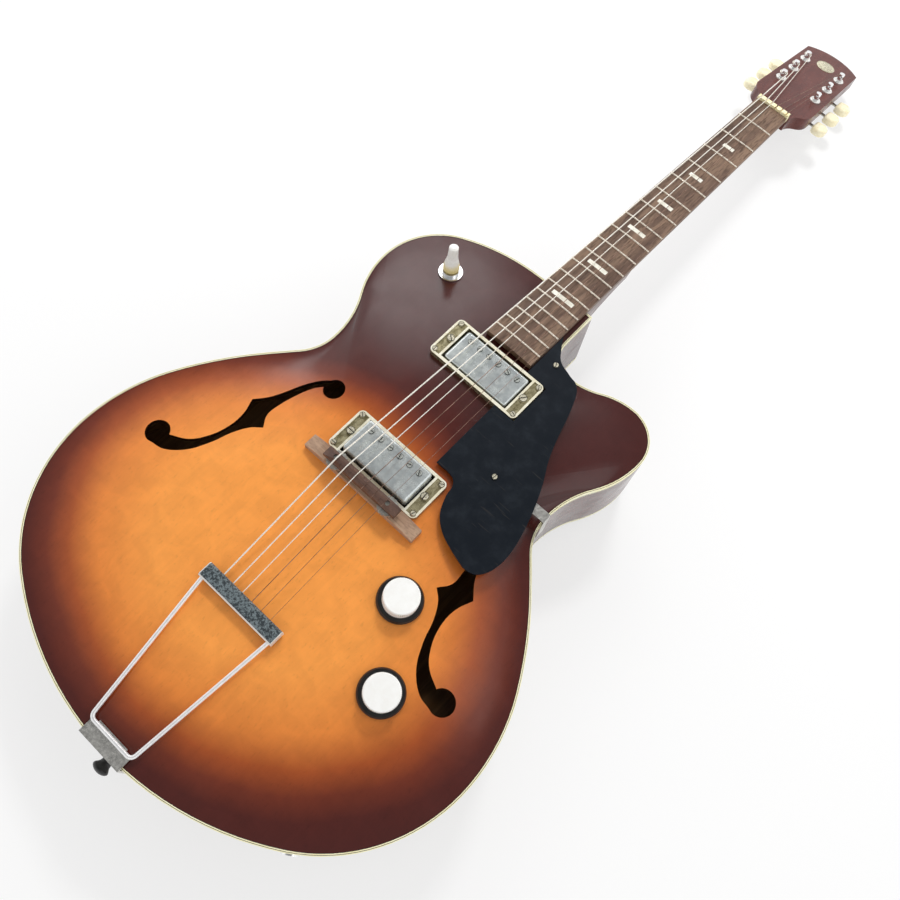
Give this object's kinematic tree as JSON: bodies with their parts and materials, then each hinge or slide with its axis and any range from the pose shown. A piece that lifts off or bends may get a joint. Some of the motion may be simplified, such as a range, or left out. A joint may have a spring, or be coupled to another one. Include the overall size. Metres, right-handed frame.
{
  "type": "archtop electric guitar",
  "caption": "Hollow archtop electric guitar: arched f-hole body with a cutaway, bound edges, pickups in metal rings, floating bridge, trapeze tailpiece, dark pickguard and geared tuners.",
  "frame": {"origin": "middle of the bounding box's floor, under the arched back", "axes": "+X to the treble side, +Y along the neck to the headstock, +Z out of the top"},
  "size_m": [0.424, 1.0544, 0.1359],
  "materials": {
    "burst_top": "gloss lacquer, sunburst",
    "burst_back": "gloss lacquer, dark red-brown",
    "binding": "aged cream",
    "inner_wood": "bare",
    "rosewood": "oiled",
    "steel": "plain",
    "strings": "wound and plain wire",
    "pearl": "pearl",
    "bone": "polished",
    "guard": "dark",
    "nickel": "aged nickel",
    "cover": "dull, mottled",
    "black": "plain",
    "chrome": "bright",
    "pitted": "pitted",
    "ivory": "ribbed",
    "cream": "aged cream"
  },
  "bodies": {
    "body": {"back_binding": "binding", "back_plate": "burst_back", "bass_rib": "burst_back", "bridge_base": "rosewood", "bridge_pickup_cover": "cover", "bridge_pickup_ring": "nickel", "bridge_posts": "steel", "end_block": "inner_wood", "end_pin": "black", "fretboard": "rosewood", "frets": "steel", "head_badge": "nickel", "height_screws": "nickel", "linings": "inner_wood", "mounting_screws": "nickel", "neck": "burst_back", "neck_block": "inner_wood", "neck_pickup_cover": "cover", "neck_pickup_ring": "nickel", "nut": "bone", "output_jack": "chrome", "pickguard": "guard", "pickguard_bracket": "nickel", "pickup_coils": "black", "pole_screws": "nickel", "position_markers": "pearl", "potentiometers": "steel", "strings": "strings", "switch_body": "chrome", "tail_bracket": "chrome", "tailpiece_bar": "pitted", "tailpiece_rod": "chrome", "tone_bars": "inner_wood", "top_binding": "binding", "top_plate": "burst_top", "treble_rib": "burst_back", "truss_rod": "steel", "tuner_bushings": "chrome", "tuner_strips": "chrome"},
    "button_1": {"tuner_button_1": "cream"},
    "post_1": {"tuner_post_1": "chrome"},
    "button_2": {"tuner_button_2": "cream"},
    "post_2": {"tuner_post_2": "chrome"},
    "button_3": {"tuner_button_3": "cream"},
    "post_3": {"tuner_post_3": "chrome"},
    "button_4": {"tuner_button_4": "cream"},
    "post_4": {"tuner_post_4": "chrome"},
    "button_5": {"tuner_button_5": "cream"},
    "post_5": {"tuner_post_5": "chrome"},
    "button_6": {"tuner_button_6": "cream"},
    "post_6": {"tuner_post_6": "chrome"},
    "volume": {"volume_knob": "ivory", "volume_shaft": "steel"},
    "tone": {"tone_knob": "ivory", "tone_shaft": "steel"},
    "switch": {"switch_lever": "steel", "switch_tip": "cream"},
    "saddle": {"bridge_saddle": "rosewood"},
    "bass_wheel": {"bass_thumbwheel": "chrome"},
    "treble_wheel": {"treble_thumbwheel": "chrome"}
  },
  "joints": [
    {"name": "button_1_turn", "type": "hinge", "parent": "body", "child": "button_1", "pos_m": [-0.0225, 0.41552, 0.03177], "axis": [-1, 0, 0], "continuous": true},
    {"name": "post_1_turn", "type": "hinge", "parent": "body", "child": "post_1", "pos_m": [-0.0225, 0.42814, 0.04851], "axis": [0, 0.2419, 0.9703], "continuous": true},
    {"name": "button_2_turn", "type": "hinge", "parent": "body", "child": "button_2", "pos_m": [-0.0225, 0.44521, 0.02437], "axis": [-1, 0, 0], "continuous": true},
    {"name": "post_2_turn", "type": "hinge", "parent": "body", "child": "post_2", "pos_m": [-0.0225, 0.45783, 0.04111], "axis": [0, 0.2419, 0.9703], "continuous": true},
    {"name": "button_3_turn", "type": "hinge", "parent": "body", "child": "button_3", "pos_m": [-0.0225, 0.4749, 0.01697], "axis": [-1, 0, 0], "continuous": true},
    {"name": "post_3_turn", "type": "hinge", "parent": "body", "child": "post_3", "pos_m": [-0.0225, 0.48753, 0.03371], "axis": [0, 0.2419, 0.9703], "continuous": true},
    {"name": "button_4_turn", "type": "hinge", "parent": "body", "child": "button_4", "pos_m": [0.0225, 0.41552, 0.03177], "axis": [1, 0, 0], "continuous": true},
    {"name": "post_4_turn", "type": "hinge", "parent": "body", "child": "post_4", "pos_m": [0.0225, 0.42814, 0.04851], "axis": [0, 0.2419, 0.9703], "continuous": true},
    {"name": "button_5_turn", "type": "hinge", "parent": "body", "child": "button_5", "pos_m": [0.0225, 0.44521, 0.02437], "axis": [1, 0, 0], "continuous": true},
    {"name": "post_5_turn", "type": "hinge", "parent": "body", "child": "post_5", "pos_m": [0.0225, 0.45783, 0.04111], "axis": [0, 0.2419, 0.9703], "continuous": true},
    {"name": "button_6_turn", "type": "hinge", "parent": "body", "child": "button_6", "pos_m": [0.0225, 0.4749, 0.01697], "axis": [1, 0, 0], "continuous": true},
    {"name": "post_6_turn", "type": "hinge", "parent": "body", "child": "post_6", "pos_m": [0.0225, 0.48753, 0.03371], "axis": [0, 0.2419, 0.9703], "continuous": true},
    {"name": "volume_turn", "type": "hinge", "parent": "body", "child": "volume", "pos_m": [0.08302, -0.28691, 0.11064], "axis": [0.0802, 0.0333, 0.9962], "range_deg": [-150, 150]},
    {"name": "tone_turn", "type": "hinge", "parent": "body", "child": "tone", "pos_m": [0.11999, -0.34551, 0.10792], "axis": [0.1039, -0.0242, 0.9943], "range_deg": [-150, 150]},
    {"name": "switch_throw", "type": "hinge", "parent": "body", "child": "switch", "pos_m": [-0.09091, -0.03911, 0.09766], "axis": [0.9989, 0.0023, 0.0474], "range_deg": [-12, 12]},
    {"name": "saddle_slide", "type": "slide", "parent": "body", "child": "saddle", "axis": [0, 0, 1], "range_m": [-0.002, 0]},
    {"name": "bass_wheel_turn", "type": "hinge", "parent": "saddle", "child": "bass_wheel", "pos_m": [-0.0275, -0.24291, 0.1215], "axis": [0, 0, 1], "range_deg": [-1020, 0]},
    {"name": "treble_wheel_turn", "type": "hinge", "parent": "saddle", "child": "treble_wheel", "pos_m": [0.0275, -0.24291, 0.1215], "axis": [0, 0, 1], "range_deg": [-1020, 0]}
  ],
  "couplings": [
    {"joint": "post_1_turn", "follows": "button_1_turn", "ratio": -0.083333},
    {"joint": "post_2_turn", "follows": "button_2_turn", "ratio": -0.083333},
    {"joint": "post_3_turn", "follows": "button_3_turn", "ratio": -0.083333},
    {"joint": "post_4_turn", "follows": "button_4_turn", "ratio": -0.083333},
    {"joint": "post_5_turn", "follows": "button_5_turn", "ratio": -0.083333},
    {"joint": "post_6_turn", "follows": "button_6_turn", "ratio": -0.083333},
    {"joint": "treble_wheel_turn", "follows": "bass_wheel_turn", "ratio": 1},
    {"joint": "saddle_slide", "follows": "bass_wheel_turn", "m_per_rad": 0.00011141}
  ]
}
